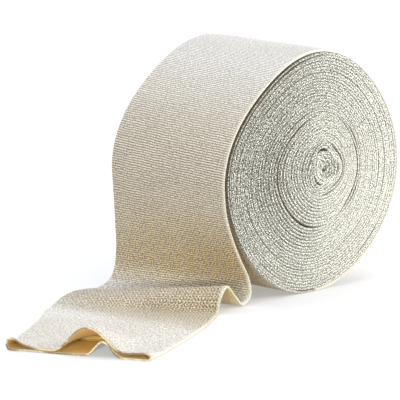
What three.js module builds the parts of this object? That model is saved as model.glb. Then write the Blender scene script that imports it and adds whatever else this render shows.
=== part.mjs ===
// Roll of knitted tubular support bandage, lying on its side with its free end drawn out on the floor.
// Millimetres, +Z up. X is the axis of the roll, and the free end leaves it towards -Y.
// The origin is the middle of the small flat that the roll rests on.
import * as THREE from 'three';

// Driving dimensions
const tubeWidth = 100;
const tubeWall = 0.92;
const rollRadius = 76.4;
const restFlatDepth = 0.45;
const pieceGap = 0.3;
const farEndSwell = 0.012;

// Sizes that follow from them
const halfWidth = tubeWidth / 2;
const clothThickness = 2 * tubeWall;

// How far the wound outline is from round, as shares of its radius: one row for each wave around it
const outlineWaves = [
  { perTurn: 2, cosine: 0.017, sine: 0.009 },
  { perTurn: 3, cosine: -0.008, sine: -0.003 },
  { perTurn: 4, cosine: 0.0165, sine: -0.0065 },
  { perTurn: 5, cosine: -0.0025, sine: 0.002 },
];

// Gaps between turns that stand open on the end faces. Angles are degrees from +Y towards +Z.
const turnGaps = [
  { name: 'middle gap, left', share: 0.47, from: 95, to: 285, depth: 2, width: 0.022 },
  { name: 'middle gap, right', share: 0.47, from: -70, to: 65, depth: 1.2, width: 0.022 },
  { name: 'inner gap', share: 0.22, from: -80, to: 80, depth: 1, width: 0.03 },
];

// The crushed first turns in the middle of the roll. The turns around them centre on it less and less.
const core = {
  offsetY: 10.5,
  offsetZ: 2,
  offsetUntil: 0.1,
  offsetGoneAt: 0.75,
  share: 0.15,
  depth: 2.6,
  lobes: 3,
  lobeShare: 0.22,
};

// Unevenness of the wound edges on the end faces
const face = { dish: 0.9, dishPower: 4, lean: 0.5, leanPower: 6, leanAngle: 215 };

// The open gap under the outermost turn, and the round of its folded edge
const outerGap = { width: 0.9, depth: 1.8, from: 40, full: 80 };

// The folded edges on both sides of that gap. Depths and the inner inset are shares of the tube's wall, the
// seat's depth is a share of the gap's, and the outer inset is a share of the outermost turn's thickness.
const rim = {
  innerDepth: 0.3,
  innerInset: 0.2,
  seatDepth: 0.75,
  outerDepth: 0.35,
  outerInset: 0.15,
  sideDepth: 1.4,
};

// Mesh steps
const turnSteps = 72;
const wallSteps = 5;
const ringShares = [
  0.035, 0.07, 0.105, 0.14, 0.18, 0.22, 0.26, 0.35, 0.42, 0.445, 0.47, 0.495, 0.53, 0.65, 0.78, 0.9,
];
const stepsPerRow = 3;
const foldPoints = 2;

// The free end: where its near edge, on the +X side, and its far edge run, as points of its middle surface
const endRows = [
  { place: 'leaves the roll', near: leavingPoint(1), far: leavingPoint(-1) },
  { place: 'upper hang', near: [50, -79.5, 61], far: [-50, -80.6, 60] },
  { place: 'middle hang', near: [50, -74.6, 46], far: [-50, -79.5, 43] },
  { place: 'lower hang', near: [50, -66.4, 29.5], far: [-50, -78.8, 26] },
  { place: 'above the floor', near: [50, -58.6, 15.5], far: [-50, -80.5, 12.5] },
  { place: 'turns outward', near: [50, -57.6, 5.8], far: [-49.5, -85.5, 5] },
  { place: 'trough', near: [50.5, -64.6, 1.3], far: [-48.5, -96, 1.5] },
  { place: 'climbs', near: [51.5, -72, 7.5], far: [-45.5, -111, 2.7] },
  { place: 'crest', near: [53.6, -81.5, 15.4], far: [-40, -126, 4] },
  { place: 'drops', near: [55, -88.3, 9.4], far: [-35, -139, 3.2] },
  { place: 'foot of the wave', near: [56.6, -92.4, 1.4], far: [-29, -151, 1.5] },
  { place: 'lies flat', near: [64.5, -104, 0.92], far: [-20, -165.5, 0.92] },
  { place: 'middle of the flat', near: [77.5, -124.5, 0.92], far: [-7, -181, 0.92] },
  { place: 'before the mouth', near: [95.6, -160, 0.92], far: [10.5, -205.5, 0.92] },
  { place: 'pocket', near: [105.5, -181.5, 0.92], far: [22.5, -223.5, 0.92] },
  { place: 'mouth', near: [114.5, -203, 0.92], far: [36.5, -243.5, 0.92] },
];

// The open mouth, seen from outside: distance from the far corner, top of the upper layer, underside of
// the lower one. Heights are above the floor.
const mouthRows = [
  { across: 0, top: 3.7, low: 3.7 },
  { across: 0.3, top: 5.4, low: 2.2 },
  { across: 0.95, top: 6.6, low: 0.9 },
  { across: 2.4, top: 7.4, low: 0.1 },
  { across: 5.5, top: 7, low: 0 },
  { across: 10.5, top: 4.6, low: 0.2 },
  { across: 17, top: 2.9, low: 0.3 },
  { across: 24, top: 2.5, low: 0.2 },
  { across: 31, top: 3, low: 0 },
  { across: 36, top: 7, low: 0 },
  { across: 40.5, top: 12, low: 0 },
  { across: 45.5, top: 16, low: 0.1 },
  { across: 50.5, top: 17, low: 0.9 },
  { across: 55, top: 15.7, low: 5.6 },
  { across: 58.5, top: 13.3, low: 8.6 },
  { across: 62, top: 10.4, low: 7 },
  { across: 66.5, top: 6.3, low: 1.8 },
  { across: 71, top: 4.1, low: 0 },
  { across: 78, top: 4.2, low: 0 },
  { across: 84.5, top: 4.7, low: 0 },
  { across: 86.9, top: 4.1, low: 0.1 },
  { across: 87.6, top: 3.3, low: 0.8 },
  { across: 87.9, top: 2, low: 2 },
];
const mouthWidth = 87.9;

// How far back from the mouth its shape reaches, and how far in the layers stand apart
const mouth = { ridgeReach: 52, cornerReach: 20, cornerFrom: 15, cornerTo: 26, pocketDepth: 36, slit: 0.3 };

// Materials
const cream = new THREE.MeshStandardMaterial({ color: 0xe3dccb, roughness: 0.95, metalness: 0 });
const creamLoose = new THREE.MeshStandardMaterial({ color: 0xe8e2d3, roughness: 0.95, metalness: 0 });

// Eases from 0 to 1 as value goes from start to end
function ease(value, start, end) {
  const t = Math.min(Math.max((value - start) / (end - start), 0), 1);
  return t * t * (3 - 2 * t);
}

// Skin collects points and faces. Points at one place are one vertex, and faces without area are left out.
class Skin {
  constructor() {
    this.positions = [];
    this.indices = [];
    this.known = new Map();
  }

  vertex(point) {
    const key = [point.x, point.y, point.z].map((value) => value.toFixed(4)).join(' ');
    if (!this.known.has(key)) {
      this.known.set(key, this.positions.length / 3);
      this.positions.push(point.x, point.y, point.z);
    }
    return this.known.get(key);
  }

  triangle(a, b, c) {
    const [i, j, k] = [a, b, c].map((point) => this.vertex(point));
    if (i !== j && j !== k && k !== i) {
      this.indices.push(i, j, k);
    }
  }

  quad(a, b, c, d) {
    this.triangle(a, b, c);
    this.triangle(a, c, d);
  }

  // Joins two lines of points that have as many points each
  strip(first, second) {
    for (let i = 0; i + 1 < first.length; i += 1) {
      this.quad(first[i], first[i + 1], second[i + 1], second[i]);
    }
  }

  geometry() {
    const geometry = new THREE.BufferGeometry();
    geometry.setAttribute('position', new THREE.Float32BufferAttribute(this.positions, 3));
    geometry.setIndex(this.indices);
    geometry.computeVertexNormals();
    return geometry;
  }
}

// Radius of the drum under the outermost turn
function drumRadius(angle) {
  const waves = outlineWaves.map(
    ({ perTurn, cosine, sine }) => cosine * Math.cos(perTurn * angle) + sine * Math.sin(perTurn * angle),
  );
  return rollRadius * (1 + waves.reduce((sum, wave) => sum + wave, 0));
}

// The far end of the roll is a little thicker than the near one
function endSwell(side) {
  return side > 0 ? 1 : 1 + farEndSwell;
}

// Height of the roll's axis at one end, over the floor that its underside is pressed flat on
function axisHeight(side) {
  const turnedAtFloor = 0.25;
  return drumRadius(-Math.PI / 2) * endSwell(side) + clothThickness * turnedAtFloor - restFlatDepth;
}

// Where the outermost turn ends and the free end goes on, a little below it and clear of the turn inside
function leavingPoint(side) {
  const outwards = drumRadius(Math.PI) * endSwell(side) + clothThickness / 2 + pieceGap;
  return [side * halfWidth, -outwards, axisHeight(side) - pieceGap];
}

// How open a gap is at an angle, from 0 at its two ends to 1 between them
function gapOpening(gap, angle) {
  const fadeAngle = 25;
  const middle = THREE.MathUtils.degToRad((gap.from + gap.to) / 2);
  const half = (gap.to - gap.from) / 2;
  const turned = angle - middle;
  const away = THREE.MathUtils.radToDeg(Math.abs(Math.atan2(Math.sin(turned), Math.cos(turned))));
  return 1 - ease(away, half - fadeAngle, half);
}

// How far an end face lies below the edge of the outermost turn
function faceSink(share, angle) {
  const gaps = turnGaps.map(
    (gap) => gap.depth * gapOpening(gap, angle) * Math.exp(-(((share - gap.share) / gap.width) ** 2)),
  );
  const leanTurn = angle - THREE.MathUtils.degToRad(face.leanAngle);
  const lean = face.lean * share * Math.cos(leanTurn) * (1 - share ** face.leanPower);
  const edge = core.share * (1 + core.lobeShare * Math.cos(core.lobes * angle));
  const hollow = core.depth * (1 - ease(share, 0, edge));
  const dish = face.dish * (1 - share ** face.dishPower);
  return dish + lean + hollow + gaps.reduce((sum, gap) => sum + gap, 0);
}

// Point of an end face or its rim, at a depth under the plane of that end. Inner turns centre on the core.
function rollPoint(side, depth, radius, angle, share) {
  const shift = 1 - ease(share, core.offsetUntil, core.offsetGoneAt);
  const z = axisHeight(side) + core.offsetZ * shift + radius * Math.sin(angle);
  return new THREE.Vector3(
    side * (halfWidth - depth),
    core.offsetY * shift + radius * Math.cos(angle),
    Math.max(z, 0),
  );
}

// Line from the middle of one end face, outwards and over its rim, at one angle. side is 1 at the +X end.
function facePoints(side, angle) {
  const drum = drumRadius(angle) * endSwell(side);
  const turned = (angle + Math.PI) / (2 * Math.PI);
  const outer = drum + clothThickness * turned;
  const degrees = THREE.MathUtils.radToDeg(angle);
  const open = ease(degrees, outerGap.from, outerGap.full);
  const seat = drum - clothThickness * (1 - turned) * ease(degrees, -180, 0);
  const inner = seat - outerGap.width;
  const lip = faceSink(1, angle);
  const groove = THREE.MathUtils.lerp(tubeWall, outerGap.depth, open);
  const crown = tubeWall * (1 - Math.min(2 * turned, 1));
  const rimRows = [
    { depth: lip, radius: inner - tubeWall },
    { depth: lip + tubeWall * rim.innerDepth, radius: inner - tubeWall * rim.innerInset },
    { depth: groove, radius: (inner + seat) / 2 },
    { depth: groove * rim.seatDepth, radius: seat },
    { depth: crown, radius: (seat + outer) / 2 },
    { depth: crown + tubeWall * rim.outerDepth, radius: outer - (outer - seat) * rim.outerInset },
    { depth: tubeWall * rim.sideDepth, radius: outer },
  ];
  return [
    rollPoint(side, faceSink(0, 0), 0, 0, 0),
    ...ringShares.map((share) => rollPoint(side, faceSink(share, angle), share * drum, angle, share)),
    ...rimRows.map(({ depth, radius }) => rollPoint(side, depth, radius, angle, 1)),
  ];
}

// The wound roll: both end faces and the outside of the outermost turn, which ends in a step at -Y
function makeWoundRoll() {
  const skin = new Skin();
  const lines = [];
  for (let i = 0; i <= turnSteps; i += 1) {
    const angle = -Math.PI + (2 * Math.PI * i) / turnSteps;
    const near = facePoints(1, angle);
    const far = facePoints(-1, angle).reverse();
    const from = near[near.length - 1];
    const to = far[0];
    const wall = [];
    for (let j = 1; j < wallSteps; j += 1) {
      wall.push(new THREE.Vector3().lerpVectors(from, to, j / wallSteps));
    }
    lines.push([...near, ...wall, ...far]);
  }
  for (let i = 0; i < turnSteps; i += 1) {
    skin.strip(lines[i], lines[i + 1]);
  }
  skin.strip(lines[turnSteps], lines[0]);
  const mesh = new THREE.Mesh(skin.geometry(), cream);
  mesh.name = 'wound_roll';
  return mesh;
}

const nearEdge = new THREE.CatmullRomCurve3(endRows.map(({ near }) => new THREE.Vector3(...near)));
const farEdge = new THREE.CatmullRomCurve3(endRows.map(({ far }) => new THREE.Vector3(...far)));

// Point of the free end's middle surface: along runs from the roll to the mouth, across from far to near
function middlePoint(along, across) {
  return new THREE.Vector3().lerpVectors(farEdge.getPoint(along), nearEdge.getPoint(along), across);
}

// Outward side of the free end: away from the roll where it hangs, up where it lies
function outward(along, across) {
  const step = 0.002;
  const start = middlePoint(Math.max(along - step, 0), across);
  const forward = middlePoint(Math.min(along + step, 1), across).sub(start);
  const sideways = nearEdge.getPoint(along).sub(farEdge.getPoint(along));
  return forward.cross(sideways).normalize();
}

// Height of the flattened tube over or under its middle where it is shut: its side folds are round
function foldHeight(across) {
  const fromEdge = Math.min(across, mouthWidth - across);
  const round = Math.min(fromEdge / tubeWall, 1);
  return tubeWall * Math.sqrt(1 - (1 - round) ** 2);
}

// Outside of the tube in one section, as distance across and height from the middle surface
function outsideLoop(fromMouth, thickness) {
  const upper = [];
  const lower = [];
  for (const { across, top, low } of mouthRows) {
    const fromEdge = Math.min(across, mouthWidth - across);
    const inRidge = ease(fromEdge, mouth.cornerFrom, mouth.cornerTo);
    const reach = THREE.MathUtils.lerp(mouth.cornerReach, mouth.ridgeReach, inRidge);
    const shape = 1 - ease(fromMouth, 0, reach);
    const shut = (foldHeight(across) * thickness) / clothThickness;
    upper.push(new THREE.Vector2(across, THREE.MathUtils.lerp(shut, top - tubeWall, shape)));
    lower.push(new THREE.Vector2(across, THREE.MathUtils.lerp(-shut, low - tubeWall, shape)));
  }
  return { upper, lower };
}

// The same line moved in by one wall, without the points of its side folds. side is 1 for the upper layer
// and -1 for the lower one.
function insideLine(line, other, side) {
  return line.slice(foldPoints, -foldPoints).map((point, i) => {
    const here = i + foldPoints;
    const run = new THREE.Vector2().subVectors(line[here + 1], line[here - 1]).normalize();
    const moved = new THREE.Vector2(point.x + side * run.y * tubeWall, point.y - side * run.x * tubeWall);
    const middle = (point.y + other[here].y) / 2;
    const limit = middle + (side * mouth.slit) / 2;
    moved.y = side > 0 ? Math.max(moved.y, limit) : Math.min(moved.y, limit);
    return moved;
  });
}

// Carries a section's points to their place on the free end
function place(line, along) {
  return line.map(({ x, y }) => {
    const across = x / mouthWidth;
    const point = middlePoint(along, across).addScaledVector(outward(along, across), y);
    point.z = Math.max(point.z, 0);
    return point;
  });
}

// A loop round the section: along its upper line, then back along its lower one
function ring(upper, lower) {
  return [...upper, ...lower.slice().reverse()];
}

// The free end: the flattened tube, shut where it leaves the roll and open at its cut mouth
function makeLooseEnd() {
  const skin = new Skin();
  const sections = (endRows.length - 1) * stepsPerRow;
  const middle = [];
  for (let i = 0; i <= sections; i += 1) {
    middle.push(middlePoint(i / sections, 0.5));
  }
  const lengths = middle.map((point, i) => (i ? point.distanceTo(middle[i - 1]) : 0));
  let fromMouth = lengths.reduce((sum, length) => sum + length, 0);
  let outside = null;
  let inside = null;
  for (let i = 0; i <= sections; i += 1) {
    fromMouth = Math.max(fromMouth - lengths[i], 0);
    const along = i / sections;
    const parting = mouth.slit * (1 - ease(fromMouth, mouth.pocketDepth, mouth.ridgeReach));
    const { upper, lower } = outsideLoop(fromMouth, clothThickness + parting);
    const nextOutside = ring(place(upper, along), place(lower, along));
    if (outside) {
      skin.strip(nextOutside, outside);
      skin.quad(nextOutside[nextOutside.length - 1], nextOutside[0], outside[0], outside[outside.length - 1]);
    } else {
      const start = place(upper, along);
      skin.strip(start, place(lower, along));
    }
    outside = nextOutside;
    if (fromMouth <= mouth.pocketDepth) {
      const insideUpper = place(insideLine(upper, lower, 1), along);
      const insideLower = place(insideLine(lower, upper, -1), along);
      const nextInside = ring(insideUpper, insideLower);
      if (inside) {
        skin.strip(inside, nextInside);
        skin.quad(inside[inside.length - 1], inside[0], nextInside[0], nextInside[nextInside.length - 1]);
      } else {
        skin.strip(insideLower, insideUpper);
      }
      inside = nextInside;
    }
  }
  addRim(skin, outside, inside);
  const mesh = new THREE.Mesh(skin.geometry(), creamLoose);
  mesh.name = 'loose_end';
  return mesh;
}

// The cut edge at the mouth, between the outside of the tube and its inside
function addRim(skin, outside, inside) {
  const innerCount = inside.length / 2;
  const padded = [inside.slice(0, innerCount), inside.slice(innerCount)].flatMap((layer) => [
    ...Array(foldPoints).fill(layer[0]),
    ...layer,
    ...Array(foldPoints).fill(layer[innerCount - 1]),
  ]);
  const last = outside.length - 1;
  skin.strip(padded, outside);
  skin.quad(padded[last], padded[0], outside[0], outside[last]);
}

const bandageRoll = new THREE.Group();
bandageRoll.add(makeWoundRoll(), makeLooseEnd());

export default bandageRoll;
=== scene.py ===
"""Roll of knitted tubular support bandage: its wound turns, its loose end and their knitted finish."""
import logging
import math
from dataclasses import dataclass
from enum import Enum
from typing import Any

import bpy
import numpy as np
from mathutils import Matrix, Vector


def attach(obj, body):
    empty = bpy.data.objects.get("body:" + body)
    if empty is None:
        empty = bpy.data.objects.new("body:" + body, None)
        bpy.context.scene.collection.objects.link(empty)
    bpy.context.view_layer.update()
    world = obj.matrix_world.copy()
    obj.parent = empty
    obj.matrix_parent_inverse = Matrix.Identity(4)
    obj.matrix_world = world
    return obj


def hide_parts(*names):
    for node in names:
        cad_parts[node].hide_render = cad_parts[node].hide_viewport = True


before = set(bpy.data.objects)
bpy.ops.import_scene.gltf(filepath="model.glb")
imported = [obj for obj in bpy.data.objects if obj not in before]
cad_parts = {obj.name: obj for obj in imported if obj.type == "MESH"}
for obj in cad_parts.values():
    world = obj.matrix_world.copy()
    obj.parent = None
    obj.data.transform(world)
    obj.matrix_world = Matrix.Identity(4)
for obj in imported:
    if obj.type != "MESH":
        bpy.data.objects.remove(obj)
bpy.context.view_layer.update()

MM = 0.001
BODY = "root"
CLOTH_UV = "cloth"
PER_METRE = 1000.0
FULL_TURN = 2 * math.pi
NOISE_CELLS = 4096
OCTAVE_SHIFT = 7.3

log = logging.getLogger("bandage_roll")

Array = np.ndarray
Colour = tuple[float, float, float]
Span = tuple[float, float]


class End(Enum):
    """One end face of the roll, by the sign of its X."""

    NEAR = 1
    FAR = -1


class Layer(Enum):
    """Values at the cloth's points that the finish reads, each an attribute of that name."""

    FOLD = "fold"
    # painted shade inside the tube and under the wave, in the lining's deep orange
    INSIDE = "inside"
    # painted shade in creases and open gaps
    CREASE = "crease"
    LOOSE = "loose"
    # painted light and shade: 0 for the tan of cloth in shade to 1 for the white of lit cloth
    PALE = "pale"
    BEAD = "bead"


def ease(value: Any, start: float, end: float) -> Any:
    """Smooth step.

    Args:
        value: Number or array.
        start: Where the result leaves 0.
        end: Where it reaches 1.

    Returns:
        Numbers from 0 to 1.
    """
    share = np.clip((np.asarray(value, float) - start) / (end - start), 0, 1)
    return share * share * (3 - 2 * share)


def smooth_noise(position: Array, seed: int, octaves: int = 2) -> Array:
    """Smooth value noise along a line.

    Args:
        position: Places along the line, one lattice step apart at whole numbers.
        seed: Which noise.
        octaves: How many finer layers are added.

    Returns:
        Numbers of about -1 to 1.
    """
    total = np.zeros_like(position, float)
    for octave in range(octaves):
        cells = np.random.default_rng(seed + octave).uniform(-1, 1, NOISE_CELLS)
        scaled = position * 2**octave + OCTAVE_SHIFT * octave
        whole = np.floor(scaled).astype(int)
        part = scaled - whole
        part = part * part * (3 - 2 * part)
        left, right = cells[whole % NOISE_CELLS], cells[(whole + 1) % NOISE_CELLS]
        total += (left * (1 - part) + right * part) / 2**octave
    return total


def catmull_rom(points: Array, places: Array) -> Array:
    """Centripetal spline through points.

    Args:
        points: One row for each point.
        places: Places on the spline, counted in points from 0.

    Returns:
        One row for each place.
    """
    count = len(points)
    padded = np.vstack([2 * points[0] - points[1], points, 2 * points[-1] - points[-2]])
    index = np.clip(np.floor(places).astype(int), 0, count - 2)
    part = (places - index)[:, None]
    a, b, c, d = (padded[index + offset] for offset in range(4))
    steps = [np.sqrt(np.linalg.norm(q - p, axis=1))[:, None] for p, q in ((a, b), (b, c), (c, d))]
    middle = np.maximum(steps[1], 1e-4)
    before = np.maximum(steps[0], 1e-4)
    after = np.maximum(steps[2], 1e-4)
    leave = ((b - a) / before - (c - a) / (before + middle) + (c - b) / middle) * middle
    arrive = ((c - b) / middle - (d - b) / (middle + after) + (d - c) / after) * middle
    square = -3 * b + 3 * c - 2 * leave - arrive
    cube = 2 * b - 2 * c + leave + arrive
    return b + leave * part + square * part**2 + cube * part**3


def normalised(vectors: Array) -> Array:
    """Rows of an array, each brought to length 1."""
    return vectors / np.maximum(np.linalg.norm(vectors, axis=-1, keepdims=True), 1e-12)


def distances_along(points: Array) -> Array:
    """Distances along a line of points, from 0 at the first."""
    steps = np.linalg.norm(np.diff(points, axis=0), axis=1)
    return np.concatenate([[0], np.cumsum(steps)])


def add_object(name: str, data: bpy.types.ID) -> bpy.types.Object:
    """Adds an object to the scene.

    Args:
        name: Its name.
        data: Its mesh, lamp or camera.

    Returns:
        The object, at the world's origin.
    """
    made = bpy.data.objects.new(name, data)
    bpy.context.scene.collection.objects.link(made)
    return made


@dataclass(frozen=True)
class Socket:
    """A node's output that takes part in sums, each of which adds its Math node."""

    tree: bpy.types.NodeTree
    output: bpy.types.NodeSocket

    def maths(self, operation: str, first: Any, second: Any = None) -> "Socket":
        """Adds a Math node.

        Args:
            operation: The node's operation.
            first: First value or socket.
            second: Second value or socket, where the operation has one.

        Returns:
            The node's result.
        """
        values = {0: first} if second is None else {0: first, 1: second}
        return add_node(self.tree, "ShaderNodeMath", {"operation": operation}, values)

    def __add__(self, other: Any) -> "Socket":
        """Sum."""
        return self.maths("ADD", self, other)

    __radd__ = __add__

    def __sub__(self, other: Any) -> "Socket":
        """Difference."""
        return self.maths("SUBTRACT", self, other)

    def __rsub__(self, other: Any) -> "Socket":
        """Difference from a number."""
        return self.maths("SUBTRACT", other, self)

    def __mul__(self, other: Any) -> "Socket":
        """Product."""
        return self.maths("MULTIPLY", self, other)

    __rmul__ = __mul__

    def __truediv__(self, other: Any) -> "Socket":
        """Quotient."""
        return self.maths("DIVIDE", self, other)

    def sine(self) -> "Socket":
        """Sine."""
        return self.maths("SINE", self)

    def wave(self) -> "Socket":
        """Sine wave from 0 to 1 that repeats with each whole number."""
        return (self * FULL_TURN).sine() * 0.5 + 0.5

    def largest(self, other: Any) -> "Socket":
        """The larger of this value and another."""
        return self.maths("MAXIMUM", self, other)

    def whole(self) -> "Socket":
        """Largest whole number that isn't above this one."""
        return self.maths("FLOOR", self)

    def clamped(self) -> "Socket":
        """This value, kept between 0 and 1."""
        return self.maths("MINIMUM", self.largest(0.0), 1.0)

    def between(self, start: float, end: float) -> "Socket":
        """Smooth step.

        Args:
            start: Value that gives 0.
            end: Value that gives 1.

        Returns:
            Values from 0 to 1.
        """
        values = {"Value": self, "From Min": start, "From Max": end}
        settings = {"interpolation_type": "SMOOTHSTEP"}
        return add_node(self.tree, "ShaderNodeMapRange", settings, values)


def set_inputs(node: bpy.types.Node, values: dict[Any, Any]) -> None:
    """Sets inputs of a node.

    Args:
        node: The node.
        values: Values or sockets, by the input's name or number.
    """
    for name, value in values.items():
        if isinstance(value, Socket):
            value.tree.links.new(value.output, node.inputs[name])
        else:
            node.inputs[name].default_value = value


def add_node(
    tree: bpy.types.NodeTree,
    kind: str,
    settings: dict[str, Any],
    values: dict[Any, Any],
    output: Any = 0,
) -> Socket:
    """Adds one node to a tree.

    Args:
        tree: Shader or geometry tree.
        kind: The node's type.
        settings: Its settings, which are set first. 'stops' are a ramp's positions and colours.
        values: Values or sockets for its inputs, by name or number.
        output: Name or number of the output that is given back.

    Returns:
        That output.
    """
    node = tree.nodes.new(kind)
    for name, setting in settings.items():
        if name != "stops":
            setattr(node, name, setting)
            continue
        elements = node.color_ramp.elements
        while len(elements) < len(setting):
            elements.new(1.0)
        for element, (position, colour) in zip(elements, setting):
            element.position = position
            element.color = (*colour, 1.0)
    set_inputs(node, values)
    return Socket(tree, node.outputs[output])


def mixed(factor: Socket, first: Any, second: Any, blend: str = "MIX") -> Socket:
    """Mix of two colours.

    Args:
        factor: Share of the second colour.
        first: Colour or socket at 0.
        second: Colour or socket at 1.
        blend: The Mix node's blend type.

    Returns:
        The mixed colour.
    """
    first, second = (
        (*colour, 1.0) if isinstance(colour, tuple) else colour for colour in (first, second)
    )
    inputs = {"Factor": factor, 6: first, 7: second}
    settings = {"data_type": "RGBA", "blend_type": blend}
    return add_node(factor.tree, "ShaderNodeMix", settings, inputs, 2)


@dataclass(frozen=True)
class KnitFinish:
    """Undyed knitted cotton: courses across the tube, stitches in each, and speckled folds.

    Lengths are in mm, noise scales in repeats a metre, and a Span is where a smooth step starts and
    ends. Its colour also holds painted light and shade: a tone from tan in shade to white in light,
    and painted shade in the knit's pits, in creases and gaps, and inside the tube.
    """

    name: str = "knitted_cotton"
    roughness: float = 0.92
    specular: float = 0.18
    sheen: float = 0.25
    sheen_roughness: float = 0.6
    relief: float = 0.00042
    knit_relief: float = 0.75
    fine_relief: float = 0.35
    fold_relief: float = 0.6
    course: float = 1.5
    course_skew: float = 0.04
    course_wander: float = 1.1
    stitch: float = 2.4
    stitch_wander: float = 0.8
    pit_step: Span = (0.5, 0.95)
    pit_dark: tuple[float, float] = (0.4, 1.6)
    stitch_depth: tuple[float, float] = (0.5, 0.35)
    grain_scale: float = 1000.0
    grain_step: Span = (0.37, 0.54)
    grain_dark: float = 0.75
    speckle_scale: float = 1350.0
    speckle_step: Span = (0.418, 0.488)
    # painted shade: the speckle darkens where the turns lie loose
    slack_painted_shade: float = 0.086
    tight_below: float = 0.35
    tight_calm: float = 0.65
    tight_shade: float = 0.085
    wale_stretch: float = 0.16
    wale_scale: float = 1750.0
    wale_step: Span = (0.38, 0.5)
    wale_pale: Span = (0.4, 1.0)
    wale_dark: float = 0.9
    dot_pitch: tuple[float, float] = (4.0, 4.6)
    dot_wander: tuple[float, float] = (0.5, 0.3)
    dot_order: float = 0.2
    dot_scale: float = 1300.0
    dot_step: Span = (0.36, 0.54)
    pale_calm: float = 0.36
    bead_calm: float = 0.6
    wander_scale: float = 90.0
    wear_scale: float = 35.0
    wear: float = 0.12
    lining_dark: float = 0.2
    # painted light and shade: tones from tan for cloth in shade to white for lit cloth
    painted_light_tones: tuple[tuple[float, Colour], ...] = (
        (0.0, (0.68, 0.475, 0.20)),
        (0.3, (0.68, 0.575, 0.385)),
        (0.65, (0.82, 0.765, 0.64)),
        (1.0, (0.99, 0.985, 0.965)),
    )
    # dark of the knit's pits, painted shade in its hollows; also the tone of the grain, strokes, crimp
    # and wear
    knit_shade_and_wear: Colour = (0.10, 0.07, 0.035)
    fold_light: Colour = (0.98, 0.975, 0.885)
    fold_dark: Colour = (0.09, 0.092, 0.07)
    # painted shade in creases and open gaps
    crease: Colour = (0.085, 0.06, 0.014)
    # painted shade: deep orange inside the tube and under the wave
    lining: Colour = (1.0, 0.7, 0.165)

    def build(self) -> bpy.types.Material:
        """Makes the material.

        Returns:
            The knitted cotton, which reads the cloth's UV map and its layers.
        """
        material = bpy.data.materials.new(self.name)
        material.use_nodes = True
        tree = material.node_tree
        tree.nodes.clear()
        height, colour = self.pattern(tree)
        bump = {"Strength": 1.0, "Distance": self.relief, "Height": height}
        values = {
            "Base Color": colour,
            "Roughness": self.roughness,
            "Specular IOR Level": self.specular,
            "Sheen Weight": self.sheen,
            "Sheen Roughness": self.sheen_roughness,
            "Normal": add_node(tree, "ShaderNodeBump", {}, bump),
        }
        shaded = add_node(tree, "ShaderNodeBsdfPrincipled", {}, values)
        set_inputs(tree.nodes.new("ShaderNodeOutputMaterial"), {"Surface": shaded})
        return material

    def pattern(self, tree: bpy.types.NodeTree) -> tuple[Socket, Socket]:
        """Knit pattern over the cloth.

        Args:
            tree: The material's tree.

        Returns:
            Height from 0 to 1, and colour.
        """
        place = add_node(tree, "ShaderNodeUVMap", {"uv_map": CLOTH_UV}, {})
        around, along = (
            add_node(tree, "ShaderNodeSeparateXYZ", {}, {0: place}, axis) * PER_METRE for axis in "XY"
        )
        fold, inside, crease, loose, pale, bead = (
            add_node(tree, "ShaderNodeAttribute", {"attribute_name": layer.value}, {}, "Fac")
            for layer in Layer
        )
        wander = self.noise(place, self.wander_scale, 2.0) - 0.5
        fine = self.noise(place, self.grain_scale)
        pits = self.pits(around, along, wander, loose)
        speckle = self.speckle(place, fold, loose)
        slack_dark, even_dark = self.pit_dark
        grain = (1.0 - fine.between(*self.grain_step)) * self.grain_dark
        wales = self.wales(around, along, loose, pale)
        crimp = (loose - 1.0).clamped() * (1.0 - self.dots(place, around, along, wander))
        kept = (1.0 - pale * self.pale_calm) * (1.0 - bead * self.bead_calm)
        # pits are painted shade in the knit's hollows; grain darkens the low places of the fine relief
        dark = (pits * (loose * slack_dark + even_dark) + grain + wales + crimp).clamped() * kept
        # painted light and shade: the tone follows the painted light layer
        yarn = add_node(tree, "ShaderNodeValToRGB", {"stops": self.painted_light_tones}, {"Fac": pale})
        ground = mixed(dark, yarn, self.knit_shade_and_wear)
        cloth = mixed(fold, ground, mixed(speckle, self.fold_dark, self.fold_light))
        worn_places = self.noise(place, self.wear_scale, 2.0) * self.wear
        worn = mixed(worn_places, cloth, self.knit_shade_and_wear, "MULTIPLY")
        # painted shade: deep orange inside the tube and under the wave
        lined = mixed(inside, worn, mixed(dark * self.lining_dark, self.lining, self.knit_shade_and_wear))
        height = (1.0 - pits) * self.knit_relief + fine * self.fine_relief
        # painted shade in creases and open gaps
        return height + fold * speckle * self.fold_relief, mixed(crease, lined, self.crease)

    def pits(self, around: Socket, along: Socket, wander: Socket, loose: Socket) -> Socket:
        """Pits between the stitches of each course, painted dark as shade in the knit's hollows.

        Args:
            around: Place around the tube, in mm.
            along: Place along it, in mm.
            wander: Slow noise about 0.
            loose: How slack the cloth is.

        Returns:
            0 on the yarn to 1 in a pit.
        """
        course = (along - around * self.course_skew + wander * self.course_wander) / self.course
        stitch = around / self.stitch + course.whole() * 0.5 + wander * self.stitch_wander
        slack_depth, even_depth = self.stitch_depth
        between_courses = (1.0 - course.wave()).between(*self.pit_step)
        return between_courses * (1.0 - stitch.wave() * (loose * slack_depth + even_depth))

    def speckle(self, place: Socket, fold: Socket, loose: Socket) -> Socket:
        """Speckle of the folded edges, darker with painted shade where the turns lie loose and calmer
        where they lie tight.

        Args:
            place: The cloth's UV place.
            fold: Share of folded edge.
            loose: How slack the cloth is.

        Returns:
            0 in the dark specks to 1 on the light yarn.
        """
        calm = (self.tight_below - loose).clamped() * self.tight_calm
        shaded = self.noise(place, self.speckle_scale) - loose * fold * self.slack_painted_shade
        speckle = (shaded - calm * self.tight_shade).between(*self.speckle_step)
        return speckle + (1.0 - speckle) * calm

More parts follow.
